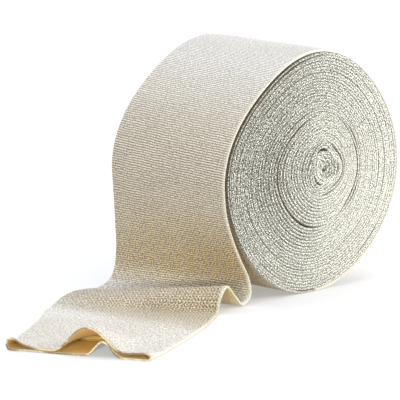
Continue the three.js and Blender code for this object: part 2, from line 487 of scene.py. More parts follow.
    def wales(self, around: Socket, along: Socket, loose: Socket, pale: Socket) -> Socket:
        """Short dark strokes along the tube, where the painted light is high and the cloth lies slack.

        Args:
            around: Place around the tube, in mm.
            along: Place along it, in mm.
            loose: How slack the cloth is.
            pale: Painted light and shade, from 0 in shade to 1 in light.

        Returns:
            0 beside the strokes to about 1 in them.
        """
        values = {"X": around * MM, "Y": along * (self.wale_stretch * MM)}
        stretched = add_node(around.tree, "ShaderNodeCombineXYZ", {}, values)
        strokes = 1.0 - self.noise(stretched, self.wale_scale).between(*self.wale_step)
        return strokes * loose * pale.between(*self.wale_pale) * self.wale_dark

    def dots(self, place: Socket, around: Socket, along: Socket, wander: Socket) -> Socket:
        """Coarse light dots of crimped cloth, in about a diamond lattice.

        Args:
            place: The cloth's UV place.
            around: Place around the tube, in mm.
            along: Place along it, in mm.
            wander: Slow noise about 0.

        Returns:
            0 between the dots to 1 on them.
        """
        first, second = self.dot_wander
        across, down = around / self.dot_pitch[0], along / self.dot_pitch[1]
        lattice = ((across + down + wander * first) * FULL_TURN).sine()
        lattice = lattice * ((across - down + wander * second) * FULL_TURN).sine()
        return (self.noise(place, self.dot_scale) + lattice * self.dot_order).between(*self.dot_step)

    def noise(self, place: Socket, scale: float, detail: float = 1.0) -> Socket:
        """Noise over the cloth's UV map, from 0 to 1."""
        values = {"Vector": place, "Scale": scale, "Detail": detail, "Roughness": 0.55}
        return add_node(place.tree, "ShaderNodeTexNoise", {"noise_dimensions": "2D"}, values)


@dataclass(frozen=True)
class Gap:
    """An open gap outside one turn, on both end faces: middle and reach in turns, sizes in mm, and dark
    is the strength of its painted shade.
    """

    turn: float
    half_turns: float
    width: float
    depth: float
    dark: float

    def opening(self, turn: Array, level: float) -> Array:
        """How far open the gap is along the winding.

        Args:
            turn: Places in the winding.
            level: Share of the gap's reach over which it is fully open.

        Returns:
            Numbers from 0 beyond the gap to 1 in its middle.
        """
        return 1 - ease(np.abs(turn - self.turn), self.half_turns * level, self.half_turns)


@dataclass(frozen=True)
class Winding:
    """How the flattened tube is wound. Sizes in mm, places in turns counted from the middle."""

    width: float = 100.0
    wall: float = 0.92
    radius: float = 76.4
    rest_flat: float = 0.45
    flat_turns: float = 8.3
    flat_fade: float = 3.0
    flat_below: float = -0.9
    seam_turns: float = 0.75
    piece_gap: float = 0.3
    leaving_turns: float = 0.12
    far_swell: float = 0.012
    last_turn: float = 42.5
    waves: tuple[tuple[int, float, float], ...] = (
        (2, 0.017, 0.009),
        (3, -0.008, -0.003),
        (4, 0.0165, -0.0065),
        (5, -0.0025, 0.002),
    )
    turn_jitter: tuple[float, float] = (0.1, 14.0)
    core_offset: tuple[float, float] = (10.5, 2.0)
    core_offset_fade: Span = (0.1, 0.75)
    core_share: float = 0.15
    core_depth: float = 1.6
    core_lobes: int = 3
    core_lobe_share: float = 0.22
    core_lobe_phase: float = 0.6
    core_lobe_fade: Span = (0.08, 0.3)
    crushed_until: float = 6.5
    crushed_rim: float = 2.4
    crushed_sink: float = 0.5
    crushed_step: float = 0.05
    crushed_path: tuple[tuple[float, float], ...] = (
        (0.2, -1.0), (0.4, 1.2), (1.8, 2.6), (3.4, 1.6), (3.2, -0.5), (2.4, -2.6),
        (0.4, -3.7), (-1.8, -3.1), (-2.3, -1.0), (-1.7, 1.3), (-2.2, 3.4), (-4.0, 3.8),
        (-4.7, 1.6), (-4.5, -1.2), (-4.1, -3.8), (-2.3, -5.4), (0.6, -5.7), (3.6, -4.9),
        (5.4, -2.8), (5.6, 0.2), (5.3, 3.2), (3.2, 4.9), (1.2, 4.4), (-0.2, 3.2),
        (-0.9, 5.3), (-3.0, 6.3), (-5.7, 5.4), (-6.9, 2.8), (-6.8, -0.6), (-6.2, -3.9),
        (-4.4, -6.4), (-1.4, -7.5), (2.4, -7.5), (5.6, -6.2), (7.5, -3.4), (7.8, 0.2),
        (7.2, 4.0), (4.8, 6.7), (1.6, 7.2), (-1.4, 8.1), (-5.0, 8.0), (-7.9, 5.8),
        (-9.0, 2.2), (-8.9, -1.8), (-7.7, -5.4), (-5.0, -8.2), (-1.2, -9.4), (3.0, -9.3),
        (6.8, -7.7), (9.3, -4.4), (10.0, -0.2), (9.6, 4.0), (7.4, 7.4), (3.9, 9.2),
        (0.0, 9.7), (-3.8, 9.9), (-7.6, 8.3), (-10.2, 4.8),
    )
    dish: float = 0.9
    lean: float = 0.5
    lean_angle: float = 215.0
    edge_jitter: tuple[float, float] = (0.34, 9.0)
    whole_turn_jitter: tuple[float, float] = (0.22, 0.25)
    lowest_edge: float = 0.3
    level_rim: Span = (0.98, 1.25)
    squeezed_turns: int = 12
    squeeze_fade: float = 0.78
    gap_rim: Span = (0.85, 1.2)
    gap_neighbours: tuple[tuple[int, float], ...] = ((-2, 0.2), (-1, 0.5), (0, 1.0), (1, 0.3))
    gaps: tuple[Gap, ...] = (
        Gap(19.53, 0.3, 0.75, 0.4, 0.8),
        Gap(20.0, 0.2, 0.6, 0.5, 0.8),
        Gap(21.0, 0.16, 0.4, 0.4, 0.6),
        Gap(9.0, 0.22, 0.5, 0.6, 0.6),
        Gap(41.43, 0.22, 1.35, 0.1, 0.85),
        Gap(40.4, 0.2, 0.75, 0.2, 0.75),
    )

    @property
    def cloth(self) -> float:
        """Thickness of the flattened tube."""
        return 2 * self.wall

    def drum(self, angle: Array, end: End) -> Array:
        """Outline of the drum under the outermost turn.

        Args:
            angle: Angles from +Y towards +Z.
            end: Which end of the roll.

        Returns:
            Its radius at each angle.
        """
        total = np.ones_like(angle)
        for per_turn, cosine, sine in self.waves:
            total += cosine * np.cos(per_turn * angle) + sine * np.sin(per_turn * angle)
        return self.radius * total * (1.0 if end is End.NEAR else 1 + self.far_swell)

    def axis_height(self, end: End) -> float:
        """Height of the roll's axis over the floor, at one end."""
        under = float(self.drum(np.array([-math.pi / 2]), end)[0])
        return under + self.cloth * 0.25 - self.rest_flat

    def leaving_point(self, end: End) -> tuple[float, float, float]:
        """Where the loose end's middle surface leaves the roll."""
        outwards = float(self.drum(np.array([math.pi]), end)[0]) + self.cloth / 2 + self.piece_gap
        return (end.value * self.width / 2, -outwards, self.axis_height(end) - self.piece_gap)

    def angle(self, turn: Array) -> Array:
        """Angle from +Y towards +Z at a place in the winding."""
        return FULL_TURN * (turn - self.last_turn) + math.pi

    def squeeze(self, turn: Array) -> Array:
        """Push of the open gaps on the turns inside them.

        Args:
            turn: Places in the winding.

        Returns:
            How far each is pushed inwards.
        """
        total = np.zeros_like(turn)
        for gap in self.gaps:
            for inner in range(self.squeezed_turns):
                total += gap.width * self.squeeze_fade**inner * gap.opening(turn + inner, 0.45)
        return total

    def openness(self, turn: Array) -> Array:
        """How much painted shade the gap outside each place gets.

        Args:
            turn: Places in the winding.

        Returns:
            Numbers from 0 where the turns touch to 1.
        """
        total = np.zeros_like(turn)
        for gap in self.gaps:
            total = np.maximum(total, gap.opening(turn, 0.5) * gap.dark)
        return total

    def sink(self, turn: Array, end: End) -> Array:
        """How far a turn's folded edge lies below the outermost one's.

        Args:
            turn: Places in the winding.
            end: Which end of the roll.

        Returns:
            Depths of at least 0.
        """
        share = np.clip(turn / (self.last_turn - 1), 0, 1)
        angle = self.angle(turn)
        to_rim = self.last_turn - turn
        lean = self.lean * share * np.cos(angle - math.radians(self.lean_angle))
        edge = self.core_share * (1 + self.core_lobe_share * np.cos(self.core_lobes * angle))
        hollow = self.core_depth * (1 - ease(share / edge, 0, 1))
        rim = self.crushed_until - self.crushed_rim
        hollow += self.crushed_sink * (1 - ease(turn, rim, self.crushed_until))
        total = self.dish * (1 - share**4) + lean * (1 - share**6) + hollow
        for gap in self.gaps:
            for step, near in self.gap_neighbours:
                opening = gap.opening(turn - step, 0.4)
                total += gap.depth * near * opening * ease(to_rim, *self.gap_rim)
        reach, pace = self.edge_jitter
        uneven = reach * smooth_noise(turn * pace + end.value * 60, 11 + end.value)
        reach, pace = self.whole_turn_jitter
        uneven += reach * smooth_noise(np.floor(turn + 0.5) + pace * angle, 31 + end.value)
        return np.maximum(total + (uneven + self.lowest_edge) * ease(to_rim, *self.level_rim), 0)

    def middle(self, turn: Array, end: End) -> Array:
        """Middle surface of the cloth at one end.

        Args:
            turn: Places in the winding.
            end: Which end.

        Returns:
            One row of X, Y, Z for each place, in mm.
        """
        angle = self.angle(turn)
        drum = self.drum(angle, end)
        share = (turn - 0.5) / (self.last_turn - 1)
        lobes = self.core_lobe_share * np.cos(self.core_lobes * angle + self.core_lobe_phase)
        lobes = lobes * (1 - ease(share, *self.core_lobe_fade))
        reach, pace = self.turn_jitter
        uneven = reach * smooth_noise(turn * pace, 5) * ease(self.last_turn - turn, 1.0, 1.5)
        radius = np.maximum(share * (1 + lobes) * drum - self.squeeze(turn) + uneven, 0.4)
        shift = 1 - ease(share, *self.core_offset_fade)
        y = self.core_offset[0] * shift + radius * np.cos(angle)
        z = self.axis_height(end) + self.core_offset[1] * shift + radius * np.sin(angle)
        z = self.rested(turn, angle, z)
        crushed = turn < self.crushed_until
        if crushed.any():
            y[crushed], z[crushed] = self.crushed(turn[crushed], end)
        leaving_from = self.last_turn - self.leaving_turns
        leaving = self.piece_gap * ease(turn, leaving_from, self.last_turn)
        x = end.value * (self.width / 2 - self.sink(turn, end))
        return np.stack([x, y - leaving, z - leaving], axis=1)

    def rested(self, turn: Array, angle: Array, z: Array) -> Array:
        """Presses the undermost cloth flat on the floor.

        Args:
            turn: Places in the winding.
            angle: Their angles.
            z: Their heights.

        Returns:
            The heights, none below its layer's lowest.
        """
        depth_in = np.maximum(self.last_turn - self.seam_turns - turn, 0)
        pressed = self.rest_flat * (1 - np.exp(-depth_in / self.flat_fade))
        lowest = self.wall + self.cloth * depth_in - pressed
        under = (turn > self.last_turn - self.flat_turns) & (np.sin(angle) < self.flat_below)
        return np.where(under, np.maximum(z, lowest), z)

    def crushed(self, turn: Array, end: End) -> Array:
        """Crumpled heart of the roll.

        Args:
            turn: Places in the winding, all in the heart.
            end: Which end.

        Returns:
            A row of Y and a row of Z.
        """
        joining = np.array([self.crushed_until, self.crushed_until + self.crushed_step])
        joined = self.middle(joining, end)
        centre = np.array([self.core_offset[0], self.axis_height(end) + self.core_offset[1]])
        points = np.vstack([np.array(self.crushed_path) + centre, joined[:, 1:]])
        places = len(points) - 2 + (turn - self.crushed_until) / self.crushed_step
        return catmull_rom(points, places).T


@dataclass(frozen=True)
class Rows:
    """Rows of the cloth: its middle surface at both folded edges, in mm, and its way along the tube."""

    near: Array
    far: Array
    along: Array

    def outward(self) -> tuple[Array, Array]:
        """Outward side of the cloth.

        Returns:
            Unit vectors at the near edge and at the far one.
        """
        across = self.near - self.far
        sides = []
        for edge in (self.near, self.far):
            forward = np.gradient(edge, axis=0)
            sides.append(normalised(np.cross(forward, across)))
        return sides[0], sides[1]


READ_ATTRIBUTES = {
    "FLOAT_VECTOR": ("near_point", "far_point", "outward"),
    "FLOAT": (
        "half", "along", "across", "inset", "height", "arc", "edge", "open_outside", "open_inside",
    ),
}


@dataclass
class WoundTurns:
    """All turns of the roll but most of the outermost: one long spiral of the flattened tube.

    Sizes are in mm, places in turns counted from the middle.
    """

    winding: Winding
    material: bpy.types.Material
    name: str = "wound_turns"
    first_turn: float = 3.6
    final_turn: float = 41.75
    fold_points: int = 7
    shoulder: float = 3.2
    steps_per_turn: tuple[int, int] = (84, 132)
    thinnest_half: float = 0.3
    heart_swell: float = 0.16
    slack_angle: float = 150.0
    slack_inside: float = 0.55
    slack_rise: Span = (14, 24)
    # painted shade at the bottom of the end faces and in the crumpled heart
    bottom_painted_shade: float = 0.15
    heart_painted_shade: float = 0.2
    # painted light level of the turns, with painted shade on the turns that the free end covers
    heart_turns: Span = (7, 11)
    painted_light_level: float = 0.5
    covered_painted_shade: float = 0.42
    covered_turns: Span = (41.15, 41.4)
    gap_over: Span = (-0.1, 0.75)
    gap_under: Span = (0.3, 0.95)
    # painted shade on the flanks of the folded edges
    flank: Span = (0.5, 1.0)
    flank_painted_shade: float = 0.26
    weld: float = 1e-6

    def path(self) -> tuple[Array, Rows]:
        """Places along the spiral.

        Returns:
            Places in turns, and the rows of the cloth there.
        """
        turns = [self.first_turn]
        low, high = self.steps_per_turn
        while turns[-1] < self.final_turn:
            share = turns[-1] / self.final_turn
            turns.append(turns[-1] + 1.0 / (low + (high - low) * min(1.0, share * 1.5)))
        places = np.array(turns)
        places[-1] = self.final_turn
        near = self.winding.middle(places, End.NEAR)
        far = self.winding.middle(places, End.FAR)
        along = distances_along(near)
        return places, Rows(near, far, along - along[-1])

    def halves(self, places: Array) -> Array:
        """Half of the cloth's thickness, which follows how tightly the turns lie.

        Args:
            places: Places in the winding.

        Returns:
            One thickness for each.
        """
        here = self.winding.middle(places, End.NEAR)[:, 1:]
        out = self.winding.middle(places + 1, End.NEAR)[:, 1:]
        spacing = np.linalg.norm(out - here, axis=1)
        heart = self.winding.crushed_until
        crushed = 1 - ease(places, heart - 0.3, heart + 1)
        halves = np.clip(spacing * 0.5, self.thinnest_half, self.winding.wall)
        return halves * (1 + self.heart_swell * crushed)

    def slack(self, places: Array) -> Array:
        """How loosely the turns lie: most on the upper side towards the free end, with painted shade
        added at the bottom and in the heart.

        Args:
            places: Places in the winding.

        Returns:
            Numbers from 0 to about 1.
        """
        angle = self.winding.angle(places)
        towards = 0.5 + 0.5 * np.cos(angle - math.radians(self.slack_angle))
        inside = self.slack_inside
        upper = towards * (inside + (1 - inside) * ease(places, *self.slack_rise))
        lower = self.bottom_painted_shade * np.clip(-np.sin(angle), 0, 1) ** 2
        return upper + lower + self.heart_painted_shade * (1 - ease(places, *self.heart_turns))

    def section(self) -> bpy.types.Object:
        """The flattened tube's section.

        Returns:
            A line of points with their places in the section.
        """
        turned = np.linspace(-math.pi / 2, math.pi / 2, self.fold_points)
        bead = self.winding.wall
        shoulder = self.shoulder
        rows = [(0.5, 0.0, -1.0, 0.0), (1.0, -shoulder, -1.0, 0.0)]
        for angle in turned:
            rows.append((1.0, bead * (math.cos(angle) - 1), math.sin(angle), 1.0))
        rows += [(1.0, -shoulder, 1.0, 0.0), (0.0, shoulder, 1.0, 0.0)]
        for angle in turned[::-1]:
            rows.append((0.0, bead * (1 - math.cos(angle)), math.sin(angle), 1.0))
        rows += [(0.0, shoulder, -1.0, 0.0), (0.5, 0.0, -1.0, 0.0)]
        flat = np.array([(a * self.winding.width + inset, h * bead) for a, inset, h, _ in rows])
        mesh = bpy.data.meshes.new("tube_section")
        count = len(rows)
        points = [(MM * i, 0.0, 0.0) for i in range(count)]
        mesh.from_pydata(points, [(i, i + 1) for i in range(count - 1)], [])
        columns = dict(zip(("across", "inset", "height", "edge"), np.array(rows).T))
        keep_values(mesh, {**columns, "arc": distances_along(flat) * MM})
        return add_object("tube_section", mesh)

    def tree(self) -> bpy.types.NodeTree:
        """Geometry tree that carries the tube's section along the spiral.

        Returns:
            The tree, with inputs for the spiral, the section, the finish and the weld's distance.
        """
        tree = bpy.data.node_groups.new("wind_tube", "GeometryNodeTree")
        kinds = {"Spiral": "Geometry", "Section": "Object", "Finish": "Material", "Weld": "Float"}
        for name, kind in kinds.items():
            tree.interface.new_socket(name, in_out="INPUT", socket_type=f"NodeSocket{kind}")
        tree.interface.new_socket("Turns", in_out="OUTPUT", socket_type="NodeSocketGeometry")
        start = tree.nodes.new("NodeGroupInput")
        given = {name: Socket(tree, start.outputs[name]) for name in kinds}
        spiral = add_node(tree, "GeometryNodeMeshToCurve", {}, {"Mesh": given["Spiral"]})
        held = add_node(tree, "GeometryNodeObjectInfo", {}, {"Object": given["Section"]}, "Geometry")
        profile = add_node(tree, "GeometryNodeMeshToCurve", {}, {"Mesh": held})
        sweep = {"Curve": spiral, "Profile Curve": profile}
        skin = add_node(tree, "GeometryNodeCurveToMesh", {}, sweep)
        read = {}
        for kind, labels in READ_ATTRIBUTES.items():
            for label in labels:
                values = {"Name": label}
                settings = {"data_type": kind}
                read[label] = add_node(tree, "GeometryNodeInputNamedAttribute", settings, values)
        values = {"Geometry": skin, "Position": self.swept_place(tree, read)}
        moved = add_node(tree, "GeometryNodeSetPosition", {}, values)
        flat = add_node(tree, "ShaderNodeCombineXYZ", {}, {"X": read["arc"], "Y": read["along"]})
        skin = self.stored(moved, CLOTH_UV, flat, "FLOAT2", "CORNER")
        skin = self.stored(skin, Layer.FOLD.value, read["edge"])
        skin = self.stored(skin, Layer.CREASE.value, self.swept_crease_shade(read))
        values = {"Geometry": skin, "Distance": given["Weld"]}
        skin = add_node(tree, "GeometryNodeMergeByDistance", {}, values)
        skin = add_node(tree, "GeometryNodeSetShadeSmooth", {}, {"Geometry": skin})
        skin = add_node(tree, "GeometryNodeRealizeInstances", {}, {"Geometry": skin})
        values = {"Geometry": skin, "Material": given["Finish"]}
        dressed = add_node(tree, "GeometryNodeSetMaterial", {}, values)
        set_inputs(tree.nodes.new("NodeGroupOutput"), {"Turns": dressed})
        return tree

    def swept_place(self, tree: bpy.types.NodeTree, read: dict[str, Socket]) -> Socket:
        """Where each point of the swept section belongs.

        Args:
            tree: The geometry tree.
            read: Attributes of the spiral and of the section.

        Returns:
            Its position.
        """
        ends = {"Factor": read["across"], 4: read["far_point"], 5: read["near_point"]}
        middle = add_node(tree, "ShaderNodeMix", {"data_type": "VECTOR"}, ends, 1)
        rise = {0: read["outward"], "Scale": read["height"] * read["half"]}
        raised = add_node(tree, "ShaderNodeVectorMath", {"operation": "SCALE"}, rise)
        inset = add_node(tree, "ShaderNodeCombineXYZ", {}, {"X": read["inset"] * MM})
        for step in (raised, inset):
            sums = {0: middle, 1: step}
            middle = add_node(tree, "ShaderNodeVectorMath", {"operation": "ADD"}, sums)
        return middle

    def swept_crease_shade(self, read: dict[str, Socket]) -> Socket:
        """Painted shade on each point of a folded edge, in open gaps and on its flanks.

        Args:
            read: Attributes of the spiral and of the section.

        Returns:
            Values from 0 to 1.
        """
        height = read["height"]
        above = height.between(*self.gap_over) * read["open_outside"]
        below = (0.0 - height).between(*self.gap_under) * read["open_inside"]
        flank = height.maths("ABSOLUTE", height).between(*self.flank) * self.flank_painted_shade
        return above.largest(below).largest(flank) * read["edge"].between(0.3, 1.0)

    def stored(
        self, skin: Socket, name: str, value: Socket, kind: str = "FLOAT", domain: str = "POINT"
    ) -> Socket:
        """Stores an attribute on a geometry.

        Args:
            skin: The geometry.
            name: The attribute's name.
            value: Its value.
            kind: Its data type.
            domain: Its domain.

        Returns:
            The geometry with it.
        """
        settings = {"data_type": kind, "domain": domain}
        values = {"Geometry": skin, "Name": name, "Value": value}
        return add_node(skin.tree, "GeometryNodeStoreNamedAttribute", settings, values)

    def dress(self, mesh: bpy.types.Mesh, places: Array, rows: Rows) -> None:
        """Gives the spiral's points what the geometry tree and the finish read.

        Args:
            mesh: The spiral.
            places: Its places in turns.
            rows: Rows of the cloth there.
        """
        vectors = {
            "near_point": rows.near * MM,
            "far_point": rows.far * MM,
            "outward": rows.outward()[0],
        }
        keep_values(mesh, vectors)
        floats = {
            "half": self.halves(places) * MM,
            "along": rows.along * MM,
            Layer.LOOSE.value: self.slack(places),
            # painted light level, with painted shade on the turns under the free end
            Layer.PALE.value: self.painted_light_level - self.covered_painted_shade * ease(places, *self.covered_turns),
            # painted shade of the open gaps outside and inside each place
            "open_outside": self.winding.openness(places),
            "open_inside": self.winding.openness(places - 1),
        }
        keep_values(mesh, floats)

    def build(self) -> bpy.types.Object:
        """Makes the wound turns.

        Returns:
            The piece, in place of the wound roll's plain solid.
        """
        places, rows = self.path()
        mesh = bpy.data.meshes.new(self.name)
        points = (rows.near * [0, 1, 1] * MM).tolist()
        mesh.from_pydata(points, [(i, i + 1) for i in range(len(points) - 1)], [])
        self.dress(mesh, places, rows)
        spiral = add_object(self.name, mesh)
        section = self.section()
        tree = self.tree()
        modifier = spiral.modifiers.new("wind", "NODES")
        modifier.node_group = tree
        sockets = tree.interface.items_tree
        inputs = {item.name: item.identifier for item in sockets if item.in_out == "INPUT"}
        for name, value in (("Section", section), ("Finish", self.material), ("Weld", self.weld)):
            modifier[inputs[name]] = value
        spiral.update_tag()
        bpy.context.view_layer.update()
        piece = real_piece(spiral, self.name)
        bpy.data.objects.remove(section)
        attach(piece, BODY)
        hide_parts("wound_roll")
        return piece


def keep_values(mesh: bpy.types.Mesh, values: dict[str, Array]) -> None:
    """Gives a mesh's points named values.

    Args:
        mesh: The mesh.
        values: A number or a row of three for each point, by name.
    """
    for name, given in values.items():
        rows = np.asarray(given, np.float32)
        kind, field = ("FLOAT", "value") if rows.ndim == 1 else ("FLOAT_VECTOR", "vector")
        mesh.attributes.new(name, kind, "POINT").data.foreach_set(field, rows.ravel())


def real_piece(source: bpy.types.Object, name: str) -> bpy.types.Object:
    """Turns a piece made by a geometry tree into a plain mesh.

    Args:
        source: The object with the tree, which is removed.
        name: Name of the piece.

    Returns:
        The plain piece, with its faces outwards.
    """
    graph = bpy.context.evaluated_depsgraph_get()
    mesh = bpy.data.meshes.new_from_object(source.evaluated_get(graph), depsgraph=graph)
    bpy.data.objects.remove(source)
    kept = {layer.value for layer in Layer} | {CLOTH_UV}
    spare = [item.name for item in mesh.attributes if not item.is_internal and not item.is_required]
    for label in spare:
        if label not in kept and label in mesh.attributes:
            mesh.attributes.remove(mesh.attributes[label])
    mesh.name = name
    piece = add_object(name, mesh)
    if signed_volume(mesh) < 0:
        mesh.flip_normals()
    return piece


def signed_volume(mesh: bpy.types.Mesh) -> float:
    """Volume inside a mesh.

    Args:
        mesh: A closed mesh.

    Returns:
        The volume, below 0 where the faces point inwards.
    """
    mesh.calc_loop_triangles()
    corners = np.empty(len(mesh.loop_triangles) * 3, np.int32)
    mesh.loop_triangles.foreach_get("vertices", corners)
    points = np.empty(len(mesh.vertices) * 3)
    mesh.vertices.foreach_get("co", points)
    a, b, c = points.reshape(-1, 3)[corners.reshape(-1, 3)].transpose(1, 0, 2)
    return float(np.einsum("ij,ij->i", a, np.cross(b, c)).sum() / 6)


@dataclass(frozen=True)
class Stretch:
    """A stretch of the free end, by distances from the mouth in mm: where it fades in and where out."""

    fade_in: Span | None = None
    fade_out: Span | None = None
    amount: float = 1.0

    def at(self, from_mouth: Any) -> Any:
        """How far places are in the stretch.

        Args:
            from_mouth: Distances back from the mouth.

        Returns:
            Numbers from 0 outside it to its amount.
        """
        total = self.amount
        if self.fade_in:
            total = total * ease(from_mouth, *self.fade_in)
        if self.fade_out:
            total = total * (1 - ease(from_mouth, *self.fade_out))
        return total


@dataclass
class LooseEnd:
    """The outermost turn and the free end: one sheet of the flattened tube, open at its cut mouth.

    Sizes are in mm. A pair whose second number belongs to the rolled hem gives the plain value and what
    the rolled stretch adds to it.
    """

    winding: Winding
    material: bpy.types.Material
    name: str = "loose_end_cloth"
    first_turn: float = 41.75
    wrap_steps: int = 130
    steps_per_row: int = 10
    mouth_width: float = 87.9
    ridge_reach: float = 52.0
    corner_reach: float = 20.0
    corner: Span = (15.0, 26.0)
    pocket: float = 36.0
    slit: float = 0.3
    side_wall: float = 0.5
    across_steps: int = 4
    mouth_turn: float = 40.0
    slack: Stretch = Stretch(None, (205, 255))
    hang: Stretch = Stretch((150, 190))
    crimp_start: Stretch = Stretch((62, 90))
    crimp_end: Stretch = Stretch(None, (148, 178))
    rolled: Stretch = Stretch((122, 140), (166, 200))
    hem_from: tuple[float, float] = (0.5, 0.9)
    hem_to: tuple[float, float] = (1.5, 1.3)
    # painted light level of the hem at the near edge
    hem_pale: tuple[float, float] = (0.6, 0.22)
    hem_share: tuple[float, float] = (0.5, 0.3)
    hem_fold: float = 0.2
    # painted shade along the hang's near edge and under the wave
    crease_step: Span = (0.1, 0.8)
    crease_edge: Span = (0.5, 2.2)
    under_step: Span = (0.2, 0.8)
    underside: Stretch = Stretch((10, 40), (150, 170))
    under_wave: Stretch = Stretch((96, 122), None, 0.62)
    under_painted_shade: float = 0.7
    # the painted light is lower at the cut rim
    cut_pale: float = 0.45
    cut_fade: Stretch = Stretch((0.2, 2.4), None, 0.55)
    # painted shade inside the tube, deeper further in
    inside_painted_shade: float = 0.15
    inside_fade: Stretch = Stretch((0.3, 6.0), None, 0.8)
    # painted light and shade along the free end: light on the flat end, the crest and over the roll, tan
    # in shade at the foot of the hang
    base_pale: float = 0.3
    flat_pale: Stretch = Stretch(None, (62, 98), 0.53)
    wave_pale: float = 0.06
    wave_end: Stretch = Stretch(None, (168, 194))
    far_wave: Stretch = Stretch((70, 110), None, 0.3)
    rise_pale: Stretch = Stretch((114, 134), None, 0.08)
    crest_pale: Stretch = Stretch((138, 162), None, 0.24)
    foot_painted_shade: Stretch = Stretch((174, 192), (200, 240), 0.22)
    front_painted_light_and_shade: tuple[Stretch, ...] = (
        Stretch((185, 262), None, 0.35),
        Stretch((262, 350), None, 0.35),
        Stretch((430, 560), None, -0.3),
    )
    drape: tuple[tuple[tuple[float, float, float], tuple[float, float, float]], ...] = (
        ((50, -79.5, 61), (-50, -80.6, 60)),
        ((50, -74.6, 46), (-50, -79.5, 43)),
        ((50, -66.4, 29.5), (-50, -78.8, 26)),
        ((50, -58.6, 15.5), (-50, -80.5, 12.5)),
        ((50, -57.6, 5.8), (-49.5, -85.5, 5)),
        ((50.5, -64.6, 1.3), (-48.5, -96, 1.5)),
        ((51.5, -72, 7.5), (-45.5, -111, 2.7)),
        ((53.6, -81.5, 15.4), (-40, -126, 4)),
        ((55, -88.3, 9.4), (-35, -139, 3.2)),
        ((56.6, -92.4, 1.4), (-29, -151, 1.5)),
        ((64.5, -104, 0.92), (-20, -165.5, 0.92)),
        ((77.5, -124.5, 0.92), (-7, -181, 0.92)),
        ((95.6, -160, 0.92), (10.5, -205.5, 0.92)),
        ((105.5, -181.5, 0.92), (22.5, -223.5, 0.92)),
        ((114.5, -203, 0.92), (36.5, -243.5, 0.92)),
    )
    mouth: tuple[tuple[float, float, float], ...] = (
        (0, 3.7, 3.7),
        (0.3, 5.4, 2.2),
        (0.95, 6.6, 0.9),
        (2.4, 7.4, 0.1),
        (5.5, 7, 0),
        (10.5, 4.6, 0.2),
        (17, 2.9, 0.3),
        (24, 2.5, 0.2),
        (31, 3, 0),
        (36, 7, 0),
        (40.5, 12, 0),
        (45.5, 16, 0.1),
        (50.5, 17, 0.9),
        (55, 15.7, 5.6),
        (58.5, 13.3, 8.6),
        (62, 10.4, 7),
        (66.5, 6.3, 1.8),
        (71, 4.1, 0),
        (78, 4.2, 0),
        (84.5, 4.7, 0),
        (86.9, 4.1, 0.1),
        (87.6, 3.3, 0.8),
        (87.9, 2, 2),
    )

    def wrapped_turns(self) -> Array:
        """Places in the winding of the rows that still lie around the roll."""
        last = self.winding.last_turn
        return np.linspace(self.first_turn, last, self.wrap_steps, endpoint=False)

    def rows(self) -> Rows:
        """Rows of the cloth.

        Returns:
            The rows from the hidden seam under the roll to the mouth.
        """
        edges = {}
        for end, column in ((End.NEAR, 0), (End.FAR, 1)):
            wrap = self.winding.middle(self.wrapped_turns(), end)
            points = [self.winding.leaving_point(end)] + [row[column] for row in self.drape]
            count = len(points)
            places = np.linspace(0, count - 1, (count - 1) * self.steps_per_row + 1)
            edges[end] = np.vstack([wrap, catmull_rom(np.array(points, float), places)])
        centre = (edges[End.NEAR] + edges[End.FAR]) / 2
        return Rows(edges[End.NEAR], edges[End.FAR], distances_along(centre))

    def shape(self, from_mouth: float) -> tuple[Array, Array, Array]:
        """Outside of the tube in one section.

        Args:
            from_mouth: Distance back from the mouth.

        Returns:
            Places across, and heights of the upper and the lower line over the middle surface.
        """
        table = np.array(self.mouth, float)
        count = len(table)
        places = np.linspace(0, count - 1, (count - 1) * self.across_steps + 1)
        fine = catmull_rom(table, places)
        across = np.clip(fine[:, 0], 0, self.mouth_width)
        wall = self.winding.wall
        top = fine[:, 1] - wall
        low = np.maximum(fine[:, 2], 0) - wall
        edge = np.minimum(across, self.mouth_width - across)
        ridge = ease(edge, *self.corner)
        reach = self.corner_reach + (self.ridge_reach - self.corner_reach) * ridge
        opened = 1 - ease(from_mouth / reach, 0, 1)
        still_open = 1 - float(ease(from_mouth, self.pocket, self.ridge_reach))
        parted = 1 + self.slit / self.winding.cloth * still_open
        folded = wall * np.sqrt(1 - (1 - np.minimum(edge / wall, 1)) ** 2) * parted
        upper = folded + (top - folded) * opened
        lower = -folded + (low + folded) * opened
        return across, upper, lower

    def inside(self, across: Array, upper: Array, lower: Array) -> tuple[Array, Array]:
        """Inside of the tube in one section.

        Args:
            across: Places across.
            upper: Heights of the upper layer's outside.
            lower: Heights of the lower layer's outside.

        Returns:
            Places across and heights, once around.
        """
        up_across, up = self.lining(across, upper, lower, 1)
        low_across, low = self.lining(across, lower, upper, -1)
        height = once_around(up, low)
        height[0] = height[len(across) - 1] = (upper[0] + lower[0]) / 2
        return once_around(up_across, low_across), height

    def lining(self, across: Array, line: Array, other: Array, side: int) -> tuple[Array, Array]:
        """Inside of one layer: its outside moved in by one wall.

        Args:
            across: Places across.
            line: The layer's own heights.
            other: The other layer's heights.
            side: 1 for the upper layer, -1 for the lower.

        Returns:
            Places across and heights.
        """
        run = normalised(np.stack([np.gradient(across), np.gradient(line)], axis=1))
        moved_across = across + side * run[:, 1] * self.winding.wall
        moved = line - side * run[:, 0] * self.winding.wall
        limit = (line + other) / 2 + side * self.slit / 2
        moved = np.maximum(moved, limit) if side > 0 else np.minimum(moved, limit)
        widest = self.mouth_width - self.side_wall
        return np.clip(moved_across, self.side_wall, widest), moved

